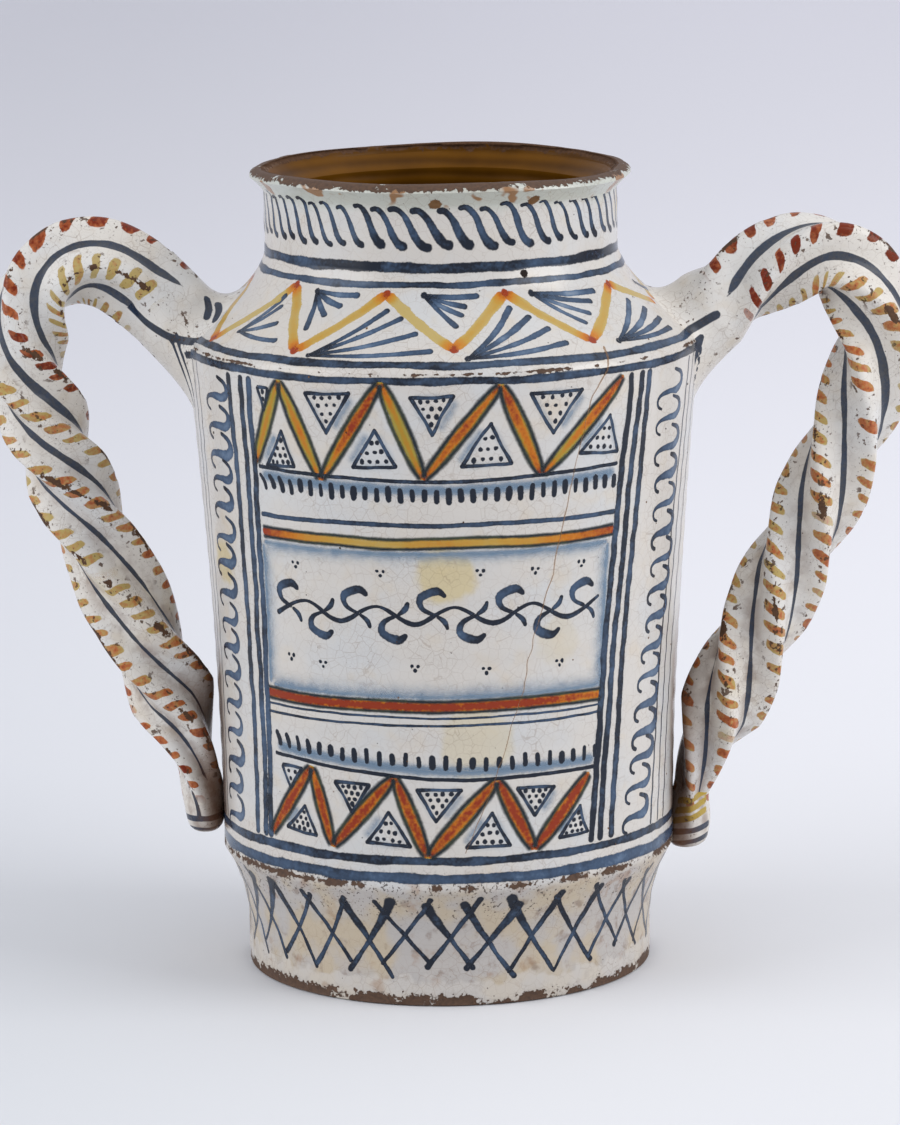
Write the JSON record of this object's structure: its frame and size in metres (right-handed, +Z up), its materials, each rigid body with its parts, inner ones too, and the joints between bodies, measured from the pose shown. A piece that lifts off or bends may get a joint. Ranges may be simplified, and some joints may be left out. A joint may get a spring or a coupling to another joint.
{
  "type": "two-handled vase",
  "caption": "Shouldered jar with a drum foot, a short neck and an everted lip, carried by two handles twisted like rope from clay coils.",
  "frame": {"origin": "centre of the flat base, on the surface the vase stands on", "axes": "+Z up along the axis of the thrown vessel, +X towards the right handle, +Y to the back, so the front panel faces -Y"},
  "size_m": [0.2891, 0.1586, 0.25],
  "materials": {
    "vessel_glaze": "white tin glaze painted in blue, yellow and orange, amber lead glaze inside, bare clay at the chipped edges",
    "rope_glaze": "white tin glaze with orange and yellow dabs on the ridges and blue lines in the grooves",
    "luting_glaze": "white tin glaze with blue brush lines"
  },
  "bodies": {
    "root": {"vessel": "vessel_glaze", "left_shoulder_collar": "luting_glaze", "left_handle_coil_1": "rope_glaze", "left_handle_coil_2": "rope_glaze", "left_handle_coil_3": "rope_glaze", "left_handle_coil_4": "rope_glaze", "left_wall_pad": "luting_glaze", "right_shoulder_collar": "luting_glaze", "right_handle_coil_1": "rope_glaze", "right_handle_coil_2": "rope_glaze", "right_handle_coil_3": "rope_glaze", "right_handle_coil_4": "rope_glaze", "right_wall_pad": "luting_glaze"}
  },
  "joints": []
}
